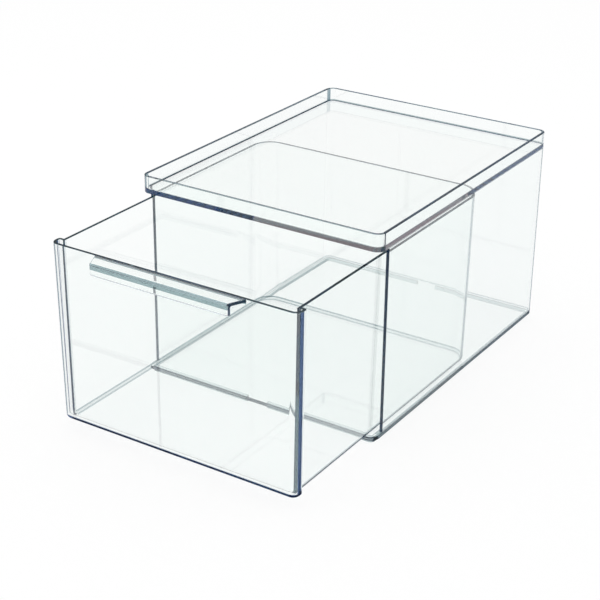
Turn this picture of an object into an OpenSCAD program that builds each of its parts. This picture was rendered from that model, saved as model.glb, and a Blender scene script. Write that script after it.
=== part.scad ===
// Clear stackable drawer box.
// The housing is a top tray, a wall shell and a base tray, bonded together. The drawer is a drafted tub,
// a stepped front that covers the wall edges, and a pull handle. The drawer slides on the floor of the
// base tray, straight out at the front, with no runners and no stop.
// Millimetres, +Z up, +Y to the back, +X to the right. The origin is under the middle of the whole
// object, on the surface it stands on, with the drawer open by drawer_open.

/* [Housing] */
// Outer width of the housing
housing_w = 210; // [180:1:260]
// Outer depth of the top tray and of the floor
housing_d = 271; // [230:1:340]
// Height from the foot of the ring to the top of the rim
housing_h = 167; // [130:1:200]
// Thickness of the side and back walls
wall_t = 2.5; // [2:0.1:3.5]
// Thickness of the top plate and of the floor
plate_t = 3; // [2.5:0.1:4]
// Outer radius of the upright corners
corner_r = 7.5; // [5:0.5:12]

/* [Stacking] */
// Height of the raised rim above the top plate
rim_h = 10.5; // [6:0.5:14]
// Thickness of the raised rim
rim_t = 2.5; // [2:0.1:3.5]
// Height of the foot ring under the floor
ring_h = 3; // [2:0.5:5]
// Thickness of the foot ring
ring_t = 2; // [1.5:0.1:3]
// Play between the foot ring and the rim of the unit below
ring_play = 0.75; // [0.4:0.05:1.5]
// Width of the notch at the middle of the ring's front and back
ring_notch_w = 18; // [10:1:40]

/* [Drawer] */
// Wall thickness of the drawer
drawer_t = 2.3; // [2:0.1:2.8]
// Gap between the drawer's rim and the top plate
top_play = 5; // [2:0.5:15]
// Play between the tub's rim and each side wall
drawer_play = 1.75; // [1:0.05:3]
// Play between the closed drawer and the back wall
back_play = 2.5; // [0.5:0.1:5]
// Draft of the tub's sides and back, in degrees
tub_draft = 0.5; // [0.3:0.05:1.5]
// Outer radius of the tub's upright back corners
tub_corner_r = 17; // [10:0.5:25]
// Outer radius where the drawer's walls meet its floor
floor_r = 4; // [3.5:0.5:4.5]
// How far the drawer is open
drawer_open = 105; // [0:1:225]

/* [Drawer front] */
// Depth of the stepped front, at its top
front_depth = 10.5; // [10:0.5:11]
// How far the closed front stands back from the front of the top tray
front_reveal = 1; // [0.5:0.1:2]
// Gap between the step of the closed front and the front edges of the side walls
front_play = 0.5; // [0.3:0.1:3]
// Draft of the front and of its two ends, in degrees
front_draft = 0.6; // [0.3:0.1:1.6]
// Outer radius of the front's upright corners
front_corner_r = 6.5; // [5.5:0.5:7]
// Outer radius of the step's upright edges, where the front meets the tub
step_r = 2; // [1:0.1:2.5]

/* [Handle] */
// Length of the handle where it joins the front
handle_root_w = 128; // [110:1:150]
// Length of the handle along its lip
handle_tip_w = 116; // [80:1:110]
// How far the handle stands out from the front
handle_reach = 13; // [10:0.5:20]
// Thickness of the handle's flange and lip
handle_t = 2.5; // [2:0.1:3.5]
// Height of the lip, from the flange's top face down
lip_h = 9; // [6:0.5:14]
// Outer radius where the flange turns down into the lip
lip_r = 1.5; // [1:0.1:2]

/* [Hidden] */

clear_tint = [0.86, 0.94, 0.95, 0.45];
edge_tint = [0.62, 0.74, 0.80, 0.55];

round_fn = 96;          // true circles
blend_fn = 32;          // circles inside a hull
cut = 1;                // how far a cutter runs past a face
skin = 0.1;             // thickness of the slices that a hull joins
least_r = 0.5;          // smallest inner radius of a ring's corner

floor_top_z = ring_h + plate_t;
plate_top_z = housing_h - rim_h;
plate_under_z = plate_top_z - plate_t;
ring_inset = rim_t + ring_play;
wall_setback = front_reveal + front_depth + front_play;   // of the side walls' front edges

drawer_len = housing_d - wall_t - back_play - front_reveal;
drawer_z = floor_top_z;
drawer_top_z = plate_under_z - top_play;
front_y = front_reveal - drawer_open;   // front face at the rim, counted from the top tray's front
step_y = front_y + front_depth;         // where the stepped front meets the tub
lean = tan(front_draft);                // how far the front leans in for each mm down
taper = tan(tub_draft);                 // the same for the tub

// The whole object's middle, so that the origin lies under it.
object_front_y = front_y - handle_reach;
shift_y = -(object_front_y + housing_d) / 2;

// Drafted outer faces of the drawer at height z.
function tub_half(z) = housing_w / 2 - wall_t - drawer_play - (drawer_top_z - z) * taper;
function tub_back(z) = front_y + drawer_len - (drawer_top_z - z) * taper;
function front_half(z) = housing_w / 2 - (drawer_top_z - z) * lean;
function front_face(z) = front_y + (drawer_top_z - z) * lean;

// Upright rounded block with its front left corner at the origin.
module rounded_block(w, d, h, r) {
    translate([r, 0, 0]) cube([w - 2 * r, d, h]);
    translate([0, r, 0]) cube([w, d - 2 * r, h]);
    for (x = [r, w - r], y = [r, d - r])
        translate([x, y, 0]) cylinder(r = r, h = h, $fn = round_fn);
}

// Ring with the outline of a rounded block, inset from the housing's outline.
module outline_ring(inset, t, z, h) {
    r = max(corner_r - inset, t + least_r);
    translate([-housing_w / 2 + inset, inset, z])
        difference() {
            rounded_block(housing_w - 2 * inset, housing_d - 2 * inset, h, r);
            translate([t, t, -cut])
                rounded_block(housing_w - 2 * (inset + t), housing_d - 2 * (inset + t), h + 2 * cut, r - t);
        }
}

// Flat plate with the housing's outline.
module outline_plate(z) {
    translate([-housing_w / 2, 0, z])
        rounded_block(housing_w, housing_d, plate_t, corner_r);
}

// Plate with the raised rim that takes the unit above.
module top_tray() {
    color(clear_tint)
        translate([0, shift_y, 0]) {
            outline_plate(plate_under_z);
            outline_ring(0, rim_t, plate_top_z, rim_h);
        }
}

// Left, back and right wall in one, open at the front.
module wall_shell() {
    color(clear_tint)
        translate([0, shift_y, 0])
            difference() {
                outline_ring(0, wall_t, floor_top_z, plate_under_z - floor_top_z);
                translate([-housing_w, -cut, 0])
                    cube([2 * housing_w, wall_setback + cut, housing_h]);
            }
}

// Floor with the foot ring that drops inside the rim of the unit below.
module base_tray() {
    color(clear_tint)
        translate([0, shift_y, 0]) {
            outline_plate(ring_h);
            difference() {
                outline_ring(ring_inset, ring_t, 0, ring_h);
                translate([-ring_notch_w / 2, -cut, -cut])
                    cube([ring_notch_w, housing_d + 2 * cut, ring_h + cut]);
            }
        }
}

// Foot of an upright corner: a disc whose lower edge is rounded. It stands on z = 0.
module corner_foot(r, edge_r) {
    rotate_extrude($fn = blend_fn) {
        square([r - edge_r, edge_r]);
        intersection() {
            translate([r - edge_r, edge_r]) circle(r = edge_r, $fn = blend_fn);
            square([r, edge_r]);
        }
    }
}

// Lower edge of a wall that runs along Y, rounded towards +X and cut square at both ends.
module edge_slice(edge_r) {
    intersection() {
        translate([0, 0, edge_r]) rotate([-90, 0, 0]) cylinder(r = edge_r, h = skin, $fn = blend_fn);
        cube([edge_r, skin, edge_r]);
    }
}

// Solid tub, narrower at its foot, from y_front back to the rounded corners. inset is counted from the
// outer face, so that the same form, smaller, is the hollow.
module tub_form(inset, y_front, z_foot, z_top) {
    r = tub_corner_r - inset;
    edge_r = floor_r - inset;
    z_low = z_foot + edge_r;
    z_high = z_top - skin;
    half_low = tub_half(z_low) - inset;
    half_high = tub_half(z_high) - inset;
    hull()
        for (side = [0, 1]) mirror([side, 0, 0]) {
            translate([half_low - r, tub_back(z_low) - inset - r, z_foot]) corner_foot(r, edge_r);
            translate([half_high - r, tub_back(z_high) - inset - r, z_high])
                cylinder(r = r, h = skin, $fn = blend_fn);
            translate([half_low - edge_r, y_front, z_foot]) edge_slice(edge_r);
            translate([half_high - skin, y_front, z_high]) cube(skin);
        }
}

// Solid stepped front, from its leaning face back to y_back, with back_r at its upright back edges.
// Its ends lean in by the same draft.
module front_form(inset, back_r, y_back, z_foot, z_top) {
    r = front_corner_r - inset;
    edge_r = floor_r - inset;
    z_low = z_foot + edge_r;
    z_high = z_top - skin;
    half_low = front_half(z_low) - inset;
    half_high = front_half(z_high) - inset;
    hull()
        for (side = [0, 1]) mirror([side, 0, 0]) {
            // The front corners' discs are deeper than the front, so they end where the back edges begin.
            intersection() {
                union() {
                    translate([half_low - r, front_face(z_low) + inset + r, z_foot]) corner_foot(r, edge_r);
                    translate([half_high - r, front_face(z_high) + inset + r, z_high])
                        cylinder(r = r, h = skin, $fn = blend_fn);
                }
                translate([0, y_back - back_r - housing_d, 0]) cube([housing_w, housing_d, housing_h + cut]);
            }
            translate([half_low - edge_r, y_back - back_r - skin, z_foot]) edge_slice(edge_r);
            translate([half_low - edge_r - back_r, y_back - skin, z_foot]) edge_slice(edge_r);
            translate([half_low - back_r, y_back - back_r, z_low]) cylinder(r = back_r, h = skin, $fn = blend_fn);
            translate([half_high - back_r, y_back - back_r, z_high])
                cylinder(r = back_r, h = skin, $fn = blend_fn);
        }
}

// Hollow of the tub, which runs on through the step of the front.
module tub_hollow() {
    tub_form(drawer_t, step_y - drawer_t - cut, drawer_z + drawer_t, drawer_top_z + cut);
}

// Floor, sides and back in one, with round corners at the back. Its open front is bonded to the front.
module drawer_tub() {
    color(clear_tint)
        translate([0, shift_y, 0])
            difference() {
                tub_form(0, step_y, drawer_z, drawer_top_z);
                tub_hollow();
            }
}

// Front that widens in a step past the tub and covers the edges of the housing's side walls.
module drawer_front() {
    color(edge_tint)
        translate([0, shift_y, 0])
            difference() {
                front_form(0, step_r, step_y, drawer_z, drawer_top_z);
                front_form(drawer_t, least_r, step_y - drawer_t, drawer_z + drawer_t, drawer_top_z + cut);
                tub_hollow();
            }
}

// Flange and turned-down lip in side view: x is the reach in front of the drawer's face, y is the height.
module handle_profile() {
    difference() {
        polygon([
            [0, 0], [handle_reach, 0], [handle_reach, -lip_h], [handle_reach - handle_t, -lip_h],
            [handle_reach - handle_t, -handle_t], [-handle_t * lean, -handle_t]
        ]);
        translate([handle_reach - lip_r, -lip_r])
            difference() {
                square(lip_r + cut);
                circle(r = lip_r, $fn = round_fn);
            }
    }
}

// Handle across the top of the front, with slanted ends.
module pull_handle() {
    root_half = handle_root_w / 2;
    tip_half = handle_tip_w / 2;
    color(edge_tint)
        translate([0, shift_y + front_y, drawer_top_z])
            intersection() {
                translate([-root_half - cut, 0, 0])
                    rotate([90, 0, 90])
                        mirror([1, 0, 0])
                            linear_extrude(handle_root_w + 2 * cut) handle_profile();
                translate([0, 0, -lip_h - cut])
                    linear_extrude(lip_h + 2 * cut)
                        polygon([
                            [-root_half, cut], [root_half, cut], [root_half, 0],
                            [tip_half, -handle_reach], [-tip_half, -handle_reach], [-root_half, 0]
                        ]);
            }
}

top_tray();
wall_shell();
base_tray();
drawer_tub();
drawer_front();
pull_handle();
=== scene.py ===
import math

import bmesh
import bpy
from mathutils import Matrix, Vector


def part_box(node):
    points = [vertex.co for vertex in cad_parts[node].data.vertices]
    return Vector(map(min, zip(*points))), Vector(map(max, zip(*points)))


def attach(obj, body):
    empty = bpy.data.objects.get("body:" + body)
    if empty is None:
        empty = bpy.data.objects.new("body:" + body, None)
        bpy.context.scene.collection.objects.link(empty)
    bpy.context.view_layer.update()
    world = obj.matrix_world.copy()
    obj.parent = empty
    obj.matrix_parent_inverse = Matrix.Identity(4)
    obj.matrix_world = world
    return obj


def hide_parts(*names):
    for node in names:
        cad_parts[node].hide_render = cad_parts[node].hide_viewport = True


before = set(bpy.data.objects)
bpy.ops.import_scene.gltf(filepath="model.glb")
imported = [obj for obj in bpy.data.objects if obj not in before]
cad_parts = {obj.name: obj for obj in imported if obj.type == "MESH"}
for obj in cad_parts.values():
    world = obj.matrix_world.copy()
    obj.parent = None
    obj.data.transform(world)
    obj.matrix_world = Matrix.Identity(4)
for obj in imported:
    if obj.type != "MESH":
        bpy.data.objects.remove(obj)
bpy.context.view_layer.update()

MM = 0.001
WHITE = (1, 1, 1, 1)

# Thicknesses that the nodes' boxes don't give, as in the part's source.
WALL_T = 2.5 * MM
PLATE_T = 3.0 * MM
RIM_T = 2.5 * MM
RING_T = 2.0 * MM
DRAWER_T = 2.3 * MM
HANDLE_T = 2.5 * MM

# Places and radii, as in the part's source.
CORNER_R = 7.5 * MM
RING_INSET = 3.25 * MM      # the rim's thickness and the ring's play
RING_NOTCH_W = 18.0 * MM
FRONT_DEPTH = 10.5 * MM
FRONT_CORNER_R = 6.5 * MM
STEP_R = 2.0 * MM
TUB_HALF_W = 100.75 * MM    # at the rim
TUB_CORNER_R = 17.0 * MM
FLOOR_R = 4.0 * MM
TUB_DRAFT = math.radians(0.5)
FRONT_DRAFT = math.radians(0.6)
HANDLE_ROOT_W = 128.0 * MM
HANDLE_TIP_W = 116.0 * MM
LIP_H = 9.0 * MM
LIP_R = 1.5 * MM

# Small roundings that only the looks need.
EDGE_R = 0.25 * MM
DECK_FILLET = 0.8 * MM      # on the deck, at the foot of the rim
LEAST_CORNER_R = 0.3 * MM   # of the housing's outline, far inside it
LEAST_STEP_R = 0.5 * MM     # of the front's step, inside its wall
HANDLE_FILLET = 1.2 * MM
HANDLE_END_R = 1.0 * MM

# Overlaps that let light pass a bonded joint, and gaps that keep two clear faces from coinciding.
BOND = 0.01 * MM            # how far bonded pieces run into each other
HANDLE_BOND = 10 * BOND     # and how far the handle runs into the front
LIFT = 0.05 * MM            # under the drawer's floor
PAPER_GAP = 0.02 * MM       # under the foot ring

# Bands that get painted shade of their own.
SEAM_W = 1.0 * MM           # on the floor, along the foot of the walls
HANDLE_ROOT = 3.5 * MM      # on the handle's top face, from the front outwards
HANDLE_BAND = 4.6 * MM      # on the handle's lip, from the rim down

ARC_STEPS = 12              # segments of a corner in plan
EDGE_STEPS = 5              # segments of a small edge rounding
SHARP_ANGLE = math.radians(35)


# ---------------------------------------------------------------- outlines and meshes

def rounded(points, radii, steps):
    """The closed polygon of points with each corner turned into an arc; radius 0 keeps one point."""
    path = []
    count = len(points)
    for i, (x, y) in enumerate(points):
        corner = Vector((x, y))
        if not radii[i]:
            path.append(corner)
            continue
        back = (Vector(points[i - 1]) - corner).normalized()
        ahead = (Vector(points[(i + 1) % count]) - corner).normalized()
        half = math.acos(max(-1.0, min(1.0, back.dot(ahead)))) / 2
        middle = corner + (back + ahead).normalized() * (radii[i] / math.sin(half))
        first = corner + back * (radii[i] / math.tan(half)) - middle
        last = corner + ahead * (radii[i] / math.tan(half)) - middle
        turn = first.angle_signed(last)
        for k in range(steps + 1):
            path.append(middle + Matrix.Rotation(-turn * k / steps, 2) @ first)
    return path


def rectangle(half_width, y_front, y_back, radius):
    points = [(-half_width, y_front), (half_width, y_front), (half_width, y_back), (-half_width, y_back)]
    return rounded(points, [radius] * 4, ARC_STEPS)


def profile(points, radii):
    """Open section of (inset, height) points with its inner corners rounded."""
    return [(p.x, p.y) for p in rounded(points, radii, EDGE_STEPS)]


def loft(name, rings):
    """Closed mesh over rings that all have the same number of points, capped at both ends."""
    bm = bmesh.new()
    rows = [[bm.verts.new(p) for p in ring] for ring in rings]
    count = len(rows[0])
    for low, high in zip(rows, rows[1:]):
        for i in range(count):
            j = (i + 1) % count
            bm.faces.new((low[i], low[j], high[j], high[i]))
    bm.faces.new(reversed(rows[0]))
    bm.faces.new(rows[-1])
    bmesh.ops.recalc_face_normals(bm, faces=bm.faces)
    return piece(name, bm)


def piece(name, bm):
    mesh = bpy.data.meshes.new(name)
    bm.to_mesh(mesh)
    bm.free()
    obj = bpy.data.objects.new(name, mesh)
    bpy.context.scene.collection.objects.link(obj)
    return obj


def prism(name, outline, z_low, z_high):
    return loft(name, [[(p.x, p.y, z) for p in outline] for z in (z_low, z_high)])


def keep_side(obj, y, side):
    """Cuts obj at the plane y, keeps the part behind it (side 1) or before it (-1), and closes it."""
    bm = bmesh.new()
    bm.from_mesh(obj.data)
    geometry = list(bm.verts) + list(bm.edges) + list(bm.faces)
    cut = bmesh.ops.bisect_plane(
        bm, geom=geometry, dist=1e-9, plane_co=(0, y, 0), plane_no=(0, -side, 0), clear_outer=True
    )
    edges = [e for e in cut["geom_cut"] if isinstance(e, bmesh.types.BMEdge)]
    bmesh.ops.holes_fill(bm, edges=edges, sides=0)
    bmesh.ops.recalc_face_normals(bm, faces=bm.faces)
    bm.to_mesh(obj.data)
    bm.free()


def smooth(obj):
    """Soft shading on the arcs, flat shading on the flats."""
    for face in obj.data.polygons:
        face.use_smooth = True
    obj.data.set_sharp_from_angle(angle=SHARP_ANGLE)
    mod = obj.modifiers.new("flat_faces", "WEIGHTED_NORMAL")
    mod.keep_sharp = True
    mod.weight = 100


# ---------------------------------------------------------------- clear plastic

IOR = 1.53
WAVE_HEIGHT = 0.04 * MM
HAZE_RANGE = (0.45, 0.80)                   # where the haze's noise goes from clear to hazy
HAZE_ROUGHNESS = 0.035
SHEET_TINT = (0.985, 0.998, 0.992, 1)       # of a sheet's face where the haze is least
DEPTH_COLOUR = (0.0, 0.40, 0.46, 1)         # what the plastic lets through over a long way
DEPTH_DENSITY = 3.2
SHADOW_TINT = (0.93, 0.955, 0.95, 1)

# Painted shade, teal to navy, of a face that has much plastic behind it. Its strength is 0 for none, 0.5
# for teal, 1 for navy.
EDGE_SHADE_TEAL = (0.33, 0.43, 0.455, 1)
EDGE_SHADE_NAVY = (0.11, 0.16, 0.29, 1)


def add(tree, kind, place, **values):
    """A new node; each value goes to the input of that name, or else to the node's own setting."""
    node = tree.nodes.new(kind)
    node.location = place
    for key, value in values.items():
        if key in node.inputs:
            node.inputs[key].default_value = value
        else:
            setattr(node, key, value)
    return node


def add_range(tree, place, low, high, to_high=1.0):
    """A node that maps low to high onto 0 to to_high, and holds what lies outside at the ends."""
    node = add(tree, "ShaderNodeMapRange", place)
    node.inputs["From Min"].default_value = low
    node.inputs["From Max"].default_value = high
    node.inputs["To Max"].default_value = to_high
    return node


def painted_edge_shade(tree):
    """Painted shade by the face's strength: it has one for light from outside and one for light from
    inside.
    """
    outside = add(tree, "ShaderNodeAttribute", (-1100, 600), attribute_name="painted_shade_from_outside")
    inside = add(tree, "ShaderNodeAttribute", (-1100, 800), attribute_name="painted_shade_from_inside")
    face = add(tree, "ShaderNodeNewGeometry", (-1100, 1100))
    edge = add(tree, "ShaderNodeMix", (-850, 700), data_type="FLOAT")
    tree.links.new(face.outputs["Backfacing"], edge.inputs["Factor"])
    tree.links.new(outside.outputs["Fac"], edge.inputs["A"])
    tree.links.new(inside.outputs["Fac"], edge.inputs["B"])
    shade_ramp = add(tree, "ShaderNodeValToRGB", (-550, 700))
    shade_ramp.color_ramp.elements[0].color = WHITE
    shade_ramp.color_ramp.elements[1].color = EDGE_SHADE_NAVY
    middle = shade_ramp.color_ramp.elements.new(0.5)
    middle.color = EDGE_SHADE_TEAL
    tree.links.new(edge.outputs["Result"], shade_ramp.inputs["Fac"])
    return shade_ramp.outputs["Color"]


def clear_plastic(name, grain):
    """Clear styrene: glass with a faint blue-green depth, slow moulding waves, a fine haze and painted
    shade on its marked faces.
    """
    mat = bpy.data.materials.new(name)
    mat.use_nodes = True
    tree = mat.node_tree
    tree.nodes.clear()
    link = tree.links.new

    place = add(tree, "ShaderNodeTexCoord", (-1100, 0))
    waves = add(tree, "ShaderNodeTexNoise", (-850, -250), Scale=14.0, Detail=2.0, Roughness=0.45)
    haze = add(tree, "ShaderNodeTexNoise", (-850, 150), Scale=grain, Detail=4.0, Roughness=0.6)
    link(place.outputs["Object"], waves.inputs["Vector"])
    link(place.outputs["Object"], haze.inputs["Vector"])

    bump = add(tree, "ShaderNodeBump", (-550, -250), Strength=1.0, Distance=WAVE_HEIGHT)
    link(waves.outputs["Fac"], bump.inputs["Height"])
    rough = add_range(tree, (-550, 50), *HAZE_RANGE, HAZE_ROUGHNESS)
    link(haze.outputs["Fac"], rough.inputs["Value"])
    sheet = add(tree, "ShaderNodeValToRGB", (-550, 350))
    sheet.color_ramp.elements[0].color = SHEET_TINT
    sheet.color_ramp.elements[1].color = WHITE
    link(haze.outputs["Fac"], sheet.inputs["Fac"])
    colour = add(tree, "ShaderNodeMix", (-250, 450), data_type="RGBA", blend_type="MULTIPLY")
    colour.inputs["Factor"].default_value = 1.0
    link(sheet.outputs["Color"], colour.inputs["A"])
    # the painted shade darkens the sheet's colour
    link(painted_edge_shade(tree), colour.inputs["B"])

    glass = add(tree, "ShaderNodeBsdfGlass", (0, 150), IOR=IOR)
    link(colour.outputs["Result"], glass.inputs["Color"])
    link(rough.outputs["Result"], glass.inputs["Roughness"])
    link(bump.outputs["Normal"], glass.inputs["Normal"])

    # Lamps shine through with a light shadow, as they do through thin clear sheets.
    lamp_path = add(tree, "ShaderNodeLightPath", (0, 600))
    through = add(tree, "ShaderNodeBsdfTransparent", (0, -100), Color=SHADOW_TINT)
    mix = add(tree, "ShaderNodeMixShader", (250, 150))
    link(lamp_path.outputs["Is Shadow Ray"], mix.inputs["Fac"])
    link(glass.outputs["BSDF"], mix.inputs[1])
    link(through.outputs["BSDF"], mix.inputs[2])

    depth = add(
        tree, "ShaderNodeVolumeAbsorption", (250, -150), Color=DEPTH_COLOUR, Density=DEPTH_DENSITY
    )
    out = add(tree, "ShaderNodeOutputMaterial", (500, 50))
    link(mix.outputs["Shader"], out.inputs["Surface"])
    link(depth.outputs["Volume"], out.inputs["Volume"])
    return mat


HOUSING_PLASTIC = clear_plastic("clear_housing_plastic", 260.0)
DRAWER_PLASTIC = clear_plastic("clear_drawer_plastic", 240.0)


def mark_painted_shade(obj, outside, inside=None):
    """Writes each face's strength of painted shade, by rules that take its centre and its normal."""
    for name, rule in (("painted_shade_from_outside", outside), ("painted_shade_from_inside", inside)):
        layer = obj.data.attributes.new(name, "FLOAT", "FACE")
        for face in obj.data.polygons:
            layer.data[face.index].value = rule(face.center, face.normal) if rule else 0.0


def leaning(normal):
    """True on a rounding between an upright face and a level one."""
    return 0.05 < abs(normal.z) < 0.995


def finish_piece(obj, material, body, slot, *nodes):
    obj.data.materials.append(material)
    smooth(obj)
    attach(obj, body)
    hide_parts(*nodes)


def housing_piece(obj, node):
    finish_piece(obj, HOUSING_PLASTIC, "housing", "clear_housing", node)


def drawer_piece(obj, node):
    finish_piece(obj, DRAWER_PLASTIC, "drawer", "clear_drawer", node)


# ---------------------------------------------------------------- housing

tray_low, tray_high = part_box("top_tray")
wall_low, wall_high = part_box("wall_shell")
base_low, base_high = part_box("base_tray")
half_w = tray_high.x
deck_z = tray_low.z + PLATE_T

# Strengths of painted edge shade.
RIM_SHADE = 0.4
DECK_FILLET_SHADE = 0.42
TRAY_CORNER_SHADE_INSIDE = 0.6
WALL_FRONT_SHADE = 0.04
WALL_CORNER_SHADE = 0.4
FLOOR_SIDE_SHADE = 0.38
FLOOR_FRONT_SHADE = 0.22
FLOOR_ROUNDING_SHADE = 1.0
FLOOR_SHADE_INSIDE = 0.15
SEAM_SHADE = 0.35
RING_SIDE_SHADE = 0.4
RING_FRONT_SHADE = 0.15
RING_SHADE_INSIDE = 0.2


def housing_ring(inset, z):
    radius = max(CORNER_R - inset, LEAST_CORNER_R)
    outline = rectangle(half_w - inset, tray_low.y + inset, tray_high.y - inset, radius)
    return [(p.x, p.y, z) for p in outline]


def tray_painted_shade(centre, normal):
    """Painted shade on the rim's top, and on the fillet at its foot."""
    if centre.z > tray_high.z - EDGE_R:
        return RIM_SHADE
    on_fillet = deck_z < centre.z < deck_z + DECK_FILLET and normal.z > 0 and leaning(normal)
    return DECK_FILLET_SHADE if on_fillet else 0.0


def tray_painted_shade_inside(centre, normal):
    """Painted shade on the outer corners, where they leave the sides, met from inside."""
    outer_corner = centre.x * normal.x > 0 and 0.8 < abs(normal.x) < 0.999
    return TRAY_CORNER_SHADE_INSIDE if outer_corner and abs(normal.z) < 0.1 else 0.0


def make_top_tray():
    """Plate and raised rim in one skin: up the outside, over the rim and down to the deck."""
    flat_inset = RIM_T * 3      # where the level caps begin
    section = profile(
        [(flat_inset, tray_low.z), (0, tray_low.z), (0, tray_high.z), (RIM_T, tray_high.z),
         (RIM_T, deck_z), (flat_inset, deck_z)],
        [0, EDGE_R, EDGE_R, EDGE_R, DECK_FILLET, 0],
    )
    obj = loft("clear_top_tray", [housing_ring(inset, z) for inset, z in section])
    mark_painted_shade(obj, tray_painted_shade, tray_painted_shade_inside)
    housing_piece(obj, "top_tray")


def wall_painted_shade(centre, normal):
    """Painted shade on the front edges, and on the back corners, fading from where they leave the sides.
    """
    if centre.y < wall_low.y + EDGE_R:
        return WALL_FRONT_SHADE
    if centre.y > wall_high.y - CORNER_R and 0.05 < normal.y < 0.6:
        return WALL_CORNER_SHADE * (1 - normal.y)
    return 0.0


def make_walls():
    inner = half_w - WALL_T
    y_back = wall_high.y
    points = [
        (-half_w, wall_low.y), (-inner, wall_low.y), (-inner, y_back - WALL_T), (inner, y_back - WALL_T),
        (inner, wall_low.y), (half_w, wall_low.y), (half_w, y_back), (-half_w, y_back),
    ]
    radii = [EDGE_R, EDGE_R, CORNER_R - WALL_T, CORNER_R - WALL_T, EDGE_R, EDGE_R, CORNER_R, CORNER_R]
    outline = rounded(points, radii, ARC_STEPS)
    obj = prism("clear_walls", outline, wall_low.z - BOND, wall_high.z + BOND)
    mark_painted_shade(obj, wall_painted_shade)
    housing_piece(obj, "wall_shell")


def housing_inset(centre):
    """How far a point lies inside the housing's outline."""
    middle = (tray_low.y + tray_high.y) / 2
    x = abs(centre.x) - (half_w - CORNER_R)
    y = abs(centre.y - middle) - (tray_high.y - middle - CORNER_R)
    return CORNER_R - (math.hypot(x, y) if min(x, y) > 0 else max(x, y))


def floor_painted_shade(centre, normal):
    """Painted shade on the floor's side with its small roundings, and along the bonded seam at the foot
    of the walls.
    """
    if abs(normal.z) < 0.2:
        return FLOOR_SIDE_SHADE if abs(normal.x) > 0.7 else FLOOR_FRONT_SHADE
    if abs(normal.z) < 0.9:
        return FLOOR_ROUNDING_SHADE
    on_seam = WALL_T < housing_inset(centre) < WALL_T + SEAM_W and centre.y > wall_low.y
    return SEAM_SHADE if on_seam and normal.z > 0 else 0.0


# Painted shade on the floor's side, met from inside.
def floor_painted_shade_inside(centre, normal):
    return FLOOR_SHADE_INSIDE if abs(normal.z) < 0.2 else 0.0


def ring_painted_shade(centre, normal):
    """Painted shade on the foot ring's sides; its front and back get less, as they are seen through less
    plastic.
    """
    if abs(normal.z) > 0.5:
        return 0.0
    return RING_SIDE_SHADE if abs(normal.x) > 0.7 else RING_FRONT_SHADE


# Painted shade on the foot ring's sides, met from inside.
def ring_painted_shade_inside(centre, normal):
    return RING_SHADE_INSIDE if abs(normal.z) < 0.5 else 0.0


def make_base_tray():
    """Floor, and the foot ring under it in two halves, left and right of its notches."""
    floor_low = base_high.z - PLATE_T
    flat_inset = PLATE_T * 2    # where the level caps begin
    section = profile(
        [(flat_inset, floor_low), (0, floor_low), (0, base_high.z), (WALL_T, base_high.z),
         (WALL_T + SEAM_W, base_high.z), (flat_inset, base_high.z)],
        [0, EDGE_R, EDGE_R, 0, 0, 0],
    )
    obj = loft("clear_floor", [housing_ring(inset, z) for inset, z in section])
    mark_painted_shade(obj, floor_painted_shade, floor_painted_shade_inside)
    housing_piece(obj, "base_tray")

    outer = half_w - RING_INSET
    y_front = base_low.y + RING_INSET
    y_back = base_high.y - RING_INSET
    start = RING_NOTCH_W / 2
    radius = CORNER_R - RING_INSET
    for side, name in ((1, "right"), (-1, "left")):
        points = [
            (start, y_front), (outer, y_front), (outer, y_back), (start, y_back),
            (start, y_back - RING_T), (outer - RING_T, y_back - RING_T),
            (outer - RING_T, y_front + RING_T), (start, y_front + RING_T),
        ]
        radii = [EDGE_R, radius, radius, EDGE_R, EDGE_R, radius - RING_T, radius - RING_T, EDGE_R]
        outline = [Vector((side * p.x, p.y)) for p in rounded(points, radii, ARC_STEPS)]
        ring = prism("clear_foot_ring_" + name, outline, base_low.z, floor_low + BOND)
        mark_painted_shade(ring, ring_painted_shade, ring_painted_shade_inside)
        housing_piece(ring, "base_tray")


# ---------------------------------------------------------------- drawer

_, tub_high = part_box("drawer_tub")
front_low, front_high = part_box("drawer_front")
handle_low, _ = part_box("pull_handle")
rim_z = front_high.z
step_y = front_low.y + FRONT_DEPTH
PAST_STEP = 4 * FRONT_DEPTH     # how far tub and front run past the step before they are cut there

# Strengths of painted edge shade.
DRAWER_RIM_SHADE = 0.45
TUB_FOOT_SHADE = 0.08
TUB_FOOT_END_SHADE = 0.35
TUB_CORNER_SHADE = 0.35
FRONT_FOOT_SHADE = 1.0
FRONT_FILLET_SHADE = 0.1
FRONT_CORNER_SHADE = 1.0
FRONT_CORNER_SHADE_INSIDE = 0.6
RETURN_SHADE = 0.12
RETURN_CORNER_SHADE = 1.0
LIP_SHADE = 0.47
HANDLE_ROOT_SHADE = 0.22


# The drawer's outside at height z: its draft narrows it towards the floor.

def tub_half(z):
    return TUB_HALF_W - (rim_z - z) * math.tan(TUB_DRAFT)


def tub_back(z):
    return tub_high.y - (rim_z - z) * math.tan(TUB_DRAFT)


def front_half(z):
    return front_high.x - (rim_z - z) * math.tan(FRONT_DRAFT)


def front_face(z):
    return front_low.y + (rim_z - z) * math.tan(FRONT_DRAFT)


def drawer_section():
    """Wall section of the drawer: up its outside, over the rim and down to the inner floor. Each entry
    is the inset, the height, and how far the front's step plane is set in there."""
    floor_z = front_low.z + LIFT
    floor_inset = FLOOR_R + EDGE_R
    path = profile(
        [(floor_inset, floor_z), (0, floor_z), (0, rim_z), (DRAWER_T, rim_z),
         (DRAWER_T, floor_z + DRAWER_T), (floor_inset, floor_z + DRAWER_T)],
        [0, FLOOR_R, EDGE_R, EDGE_R, FLOOR_R - DRAWER_T, 0],
    )
    outer_foot = path[:EDGE_STEPS + 2]
    return [(*level, 0 if level in outer_foot else min(level[0], DRAWER_T)) for level in path]


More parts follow.
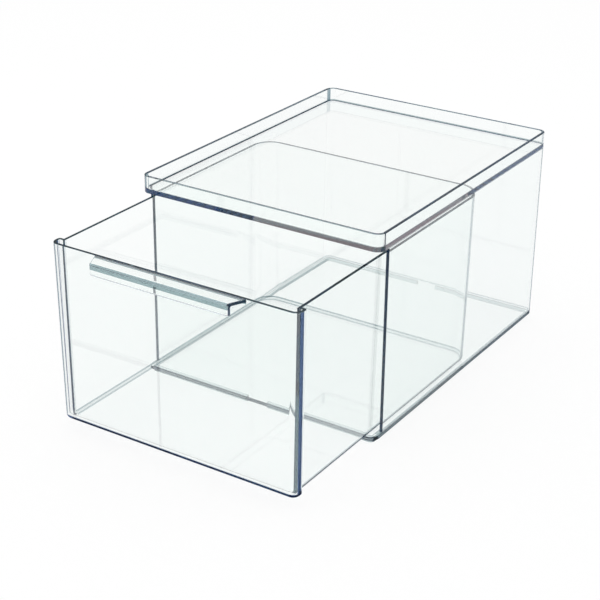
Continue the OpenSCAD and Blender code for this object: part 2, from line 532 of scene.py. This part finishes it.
def tub_ring(inset, z, _):
    half = tub_half(z) - inset
    y_back = tub_back(z) - inset
    y_front = step_y - PAST_STEP
    points = [(-half, y_front), (half, y_front), (half, y_back), (-half, y_back)]
    corner = max(TUB_CORNER_R - inset, EDGE_R)
    outline = rounded(points, [0, 0, corner, corner], ARC_STEPS)
    return [(p.x, p.y, z) for p in outline]


def front_ring(inset, z, step_inset):
    wide = front_half(z) - inset
    narrow = tub_half(z) - inset
    y_front = front_face(z) + inset
    y_step = step_y - step_inset
    y_back = step_y + PAST_STEP
    points = [
        (-wide, y_front), (wide, y_front), (wide, y_step), (narrow, y_step),
        (narrow, y_back), (-narrow, y_back), (-narrow, y_step), (-wide, y_step),
    ]
    corner = max(FRONT_CORNER_R - inset, EDGE_R)
    edge = max(STEP_R - inset, LEAST_STEP_R)
    outline = rounded(points, [corner, corner, edge, 0, 0, 0, 0, edge], ARC_STEPS)
    return [(p.x, p.y, z) for p in outline]


def tub_foot_painted_shade(normal):
    """Painted shade on the tub's foot and floor fillet: stronger at a rounding's two ends than along its
    middle.
    """
    return TUB_FOOT_SHADE if 0.25 < abs(normal.z) < 0.95 else TUB_FOOT_END_SHADE


def drawer_painted_shade(centre, normal):
    """Painted shade on the rim, rounded foot, floor fillet and rounded corners, met from outside the
    plastic. The tub's back corners fade from where they leave the sides."""
    in_front = centre.y < step_y
    side = abs(normal.x)
    if centre.z > rim_z - EDGE_R:
        return DRAWER_RIM_SHADE
    if centre.z < front_low.z + FLOOR_R and leaning(normal):
        if in_front:
            return FRONT_FOOT_SHADE if normal.z < 0 else FRONT_FILLET_SHADE
        return tub_foot_painted_shade(normal)
    if in_front and normal.y < -0.02 and 0.88 < side < 0.999:
        return FRONT_CORNER_SHADE
    if in_front and centre.x * normal.x < 0 and side > 0.999:
        return RETURN_SHADE
    if in_front and centre.x * normal.x < 0 and normal.y > 0.02 and side > 0.7:
        return RETURN_CORNER_SHADE
    if centre.y > tub_high.y - TUB_CORNER_R and 0.05 < normal.y < 0.45:
        return TUB_CORNER_SHADE * (1 - 1.5 * normal.y)
    return 0.0


def drawer_painted_shade_inside(centre, normal):
    """Painted shade on the tub's foot and the front's outer corners, met from within the plastic."""
    in_front = centre.y < step_y
    if centre.z < front_low.z + FLOOR_R and centre.y > step_y and normal.z < 0 and leaning(normal):
        return tub_foot_painted_shade(normal)
    if in_front and normal.y < -0.02 and 0.85 < abs(normal.x) < 0.999:
        return FRONT_CORNER_SHADE_INSIDE
    return 0.0


def make_drawer():
    section = drawer_section()
    tub = loft("clear_drawer_tub", [tub_ring(*level) for level in section])
    keep_side(tub, step_y - BOND, 1)
    mark_painted_shade(tub, drawer_painted_shade, drawer_painted_shade_inside)
    drawer_piece(tub, "drawer_tub")
    front = loft("clear_drawer_front", [front_ring(*level) for level in section])
    keep_side(front, step_y + BOND, -1)
    mark_painted_shade(front, drawer_painted_shade, drawer_painted_shade_inside)
    drawer_piece(front, "drawer_front")


def handle_painted_shade(centre, normal):
    """Painted shade on the upper band of the lip's face, and on the strip where the top face leaves the
    front.
    """
    if normal.y < -0.3 and centre.z > rim_z - HANDLE_BAND:
        return LIP_SHADE
    if normal.z > 0.9 and centre.y > front_low.y - HANDLE_ROOT:
        return HANDLE_ROOT_SHADE
    return 0.0


def handle_section(inset):
    """L-shaped section as (forward, height), drawn in by inset; its root runs into the front."""
    reach = front_low.y - handle_low.y - inset
    under = rim_z - HANDLE_T + inset
    lip_z = rim_z - LIP_H + inset
    lip_back = reach - HANDLE_T + 2 * inset
    foot = rim_z - HANDLE_T - HANDLE_FILLET
    root = -(rim_z - foot) * math.tan(FRONT_DRAFT)
    points = [
        (-HANDLE_BOND, rim_z - inset), (HANDLE_ROOT, rim_z - inset), (reach, rim_z - inset),
        (reach, rim_z - HANDLE_BAND), (reach, lip_z), (lip_back, lip_z), (lip_back, under),
        (root, under), (root, foot), (root - HANDLE_BOND, foot),
    ]
    edge = max(EDGE_R - inset, 0.1 * EDGE_R)
    root_fillet = 0.9 * HANDLE_FILLET   # a little less than the upright side that it rounds
    radii = [0, 0, LIP_R - inset, 0, edge, edge, HANDLE_FILLET, root_fillet, 0, 0]
    return rounded(points, radii, EDGE_STEPS)


def handle_ring(side, inset, back):
    """The section at one end, drawn in by inset and moved back; the end slants towards the lip."""
    reach = front_low.y - handle_low.y
    ring = []
    for p in handle_section(inset):
        share = max(p.x, 0) / reach
        half = (HANDLE_ROOT_W + (HANDLE_TIP_W - HANDLE_ROOT_W) * share) / 2 - back
        ring.append((side * half, front_low.y - p.x, p.y))
    return ring


def make_handle():
    """Grip with rounded ends, longest where it joins the front."""
    turns = [math.pi / 2 * k / EDGE_STEPS for k in range(EDGE_STEPS + 1)]
    steps = [(HANDLE_END_R * (1 - math.sin(t)), HANDLE_END_R * (1 - math.cos(t))) for t in turns]
    left_end = [handle_ring(-1, *step) for step in steps]
    right_end = [handle_ring(1, *step) for step in reversed(steps)]
    handle = loft("clear_pull_handle", left_end + right_end)
    mark_painted_shade(handle, handle_painted_shade)
    drawer_piece(handle, "pull_handle")


# ---------------------------------------------------------------- floor and world

SKY_STRENGTH = 0.85
PAPER_RADIUS = 6.0
PAPER_COLOUR = (0.96, 0.96, 0.96, 1)
PAPER_WHITE_SHARE = 0.85    # the rest of the paper is lit by the lamps and takes the shadow

# The dim room round the set, as it looks to light that has run along inside a clear sheet:
# reddish behind the object on its left, and navy elsewhere.
ROOM_RED = (0.50, 0.25, 0.28, 1)
ROOM_NAVY = (0.05, 0.075, 0.28, 1)
# Where red gives way to navy, towards the right and towards the front. These are metres on the
# floor, and parts of the direction's unit vector in the world.
RED_TO_NAVY_X = (-0.15, -0.02)
RED_TO_NAVY_Y = (0.12, 0.0)

# How often light was turned back, less a share of how often it passed a face, sets how much of the
# room it sees: none up to the first number, and nothing else from the second on.
PASSED_SHARE = 0.25
TURNED_BACK = (0.75, 2.25)


def room_colour(tree, place, coordinates):
    """White, but the dim room for light that was turned back inside the plastic several times."""
    x, y = place
    link = tree.links.new
    path = add(tree, "ShaderNodeLightPath", (x, y))
    passed = add(tree, "ShaderNodeMath", (x + 200, y - 150), operation="MULTIPLY")
    passed.inputs[1].default_value = PASSED_SHARE
    turned_back = add(tree, "ShaderNodeMath", (x + 400, y), operation="SUBTRACT")
    share = add_range(tree, (x + 600, y), *TURNED_BACK)
    link(path.outputs["Transmission Depth"], passed.inputs[0])
    link(path.outputs["Glossy Depth"], turned_back.inputs[0])
    link(passed.outputs["Value"], turned_back.inputs[1])
    link(turned_back.outputs["Value"], share.inputs["Value"])

    where = add(tree, "ShaderNodeTexCoord", (x, y - 300))
    sides = add(tree, "ShaderNodeSeparateXYZ", (x + 200, y - 300))
    to_right = add_range(tree, (x + 400, y - 300), *RED_TO_NAVY_X)
    to_front = add_range(tree, (x + 400, y - 600), *RED_TO_NAVY_Y)
    either = add(tree, "ShaderNodeMath", (x + 600, y - 450), operation="MAXIMUM")
    room = add(tree, "ShaderNodeMix", (x + 800, y - 300), data_type="RGBA")
    room.inputs["A"].default_value = ROOM_RED
    room.inputs["B"].default_value = ROOM_NAVY
    link(where.outputs[coordinates], sides.inputs["Vector"])
    link(sides.outputs["X"], to_right.inputs["Value"])
    link(sides.outputs["Y"], to_front.inputs["Value"])
    link(to_right.outputs["Result"], either.inputs[0])
    link(to_front.outputs["Result"], either.inputs[1])
    link(either.outputs["Value"], room.inputs["Factor"])

    seen = add(tree, "ShaderNodeMix", (x + 1000, y), data_type="RGBA")
    seen.inputs["A"].default_value = WHITE
    link(share.outputs["Result"], seen.inputs["Factor"])
    link(room.outputs["Result"], seen.inputs["B"])
    return seen.outputs["Result"]


def seen_directly(tree, place):
    """1 for a camera, mirror or see-through ray, so that gloss and glass show the same background."""
    x, y = place
    path = add(tree, "ShaderNodeLightPath", place)
    first = add(tree, "ShaderNodeMath", (x + 200, y), operation="MAXIMUM")
    second = add(tree, "ShaderNodeMath", (x + 400, y), operation="MAXIMUM")
    tree.links.new(path.outputs["Is Camera Ray"], first.inputs[0])
    tree.links.new(path.outputs["Is Glossy Ray"], first.inputs[1])
    tree.links.new(first.outputs["Value"], second.inputs[0])
    tree.links.new(path.outputs["Is Transmission Ray"], second.inputs[1])
    return second.outputs["Value"]


def make_floor():
    """White paper: it shows white where it is seen, and keeps a share that takes the shadow."""
    bm = bmesh.new()
    bmesh.ops.create_circle(bm, cap_ends=True, segments=96, radius=PAPER_RADIUS)
    floor = piece("floor", bm)
    floor.location.z = base_low.z - PAPER_GAP
    mat = bpy.data.materials.new("floor_paper")
    mat.use_nodes = True
    tree = mat.node_tree
    tree.nodes.clear()
    seen = seen_directly(tree, (-1300, 300))
    share = add(tree, "ShaderNodeMath", (-300, 300), operation="MULTIPLY")
    share.inputs[1].default_value = PAPER_WHITE_SHARE
    tree.links.new(seen, share.inputs[0])
    lit = add(tree, "ShaderNodeBsdfDiffuse", (-50, 100), Color=PAPER_COLOUR)
    white = add(tree, "ShaderNodeEmission", (-50, -150), Strength=1.0)
    tree.links.new(room_colour(tree, (-1300, -100), "Object"), white.inputs["Color"])
    mix = add(tree, "ShaderNodeMixShader", (200, 0))
    out = add(tree, "ShaderNodeOutputMaterial", (450, 0))
    tree.links.new(share.outputs["Value"], mix.inputs["Fac"])
    tree.links.new(lit.outputs["BSDF"], mix.inputs[1])
    tree.links.new(white.outputs["Emission"], mix.inputs[2])
    tree.links.new(mix.outputs["Shader"], out.inputs["Surface"])
    floor.data.materials.append(mat)


def make_world():
    """Even white studio."""
    world = bpy.data.worlds.new("studio")
    bpy.context.scene.world = world
    world.use_nodes = True
    tree = world.node_tree
    tree.nodes.clear()
    sky = add(tree, "ShaderNodeBackground", (0, 100), Color=WHITE, Strength=SKY_STRENGTH)
    white = add(tree, "ShaderNodeBackground", (0, -100), Strength=1.0)
    tree.links.new(room_colour(tree, (-1300, -100), "Generated"), white.inputs["Color"])
    seen = seen_directly(tree, (-1300, 300))
    mix = add(tree, "ShaderNodeMixShader", (250, 0))
    out = add(tree, "ShaderNodeOutputWorld", (500, 0))
    tree.links.new(seen, mix.inputs["Fac"])
    tree.links.new(sky.outputs["Background"], mix.inputs[1])
    tree.links.new(white.outputs["Background"], mix.inputs[2])
    tree.links.new(mix.outputs["Shader"], out.inputs["Surface"])


# ---------------------------------------------------------------- lamp and camera

LAMP_PLACE = Vector((-0.3, 0.1, 1.6))
LAMP_TARGET = Vector((0, 0, 0.1))
LAMP_SIDE = 1.6
LAMP_POWER = 8              # watts

# Found by fitting the object's edges to the photograph's.
CAMERA_PLACE = Vector((0.5828, -0.9270, 0.5754))
CAMERA_AZIMUTH = math.radians(32.599)
CAMERA_ELEVATION = math.radians(25.175)
CAMERA_ROLL = 0.0131        # radians
CAMERA_LENS = 92.18         # millimetres, like the sensor's width
SENSOR_W = 36.0


def make_lamp():
    """Large soft panel above the object."""
    data = bpy.data.lights.new("lamp_above", "AREA")
    data.shape = "RECTANGLE"
    data.size = LAMP_SIDE
    data.size_y = LAMP_SIDE
    data.energy = LAMP_POWER
    lamp = bpy.data.objects.new("lamp_above", data)
    bpy.context.scene.collection.objects.link(lamp)
    lamp.location = LAMP_PLACE
    lamp.rotation_mode = "QUATERNION"
    lamp.rotation_quaternion = (LAMP_TARGET - LAMP_PLACE).to_track_quat("-Z", "Y")


def make_camera():
    azimuth, elevation, roll = CAMERA_AZIMUTH, CAMERA_ELEVATION, CAMERA_ROLL
    ahead = Vector((
        -math.sin(azimuth) * math.cos(elevation),
        math.cos(azimuth) * math.cos(elevation),
        -math.sin(elevation),
    ))
    right = Vector((math.cos(azimuth), math.sin(azimuth), 0))
    up = right.cross(ahead)
    axis_x = right * math.cos(roll) + up * math.sin(roll)
    axis_y = up * math.cos(roll) - right * math.sin(roll)
    turn = Matrix((axis_x, axis_y, -ahead)).transposed()
    data = bpy.data.cameras.new("camera")
    data.lens = CAMERA_LENS
    data.sensor_width = SENSOR_W
    cam = bpy.data.objects.new("camera", data)
    bpy.context.scene.collection.objects.link(cam)
    cam.matrix_world = Matrix.Translation(CAMERA_PLACE) @ turn.to_4x4()
    bpy.context.scene.camera = cam


def set_bounces():
    """Enough bounces for light that runs along inside the sheets."""
    cycles = bpy.context.scene.cycles
    cycles.max_bounces = 256
    cycles.transmission_bounces = 64
    cycles.glossy_bounces = 256
    cycles.transparent_max_bounces = 32


make_top_tray()
make_walls()
make_base_tray()
make_drawer()
make_handle()
make_floor()
make_world()
make_lamp()
make_camera()
set_bounces()
bpy.context.scene.view_settings.view_transform = "Standard"

bpy.context.view_layer.update()
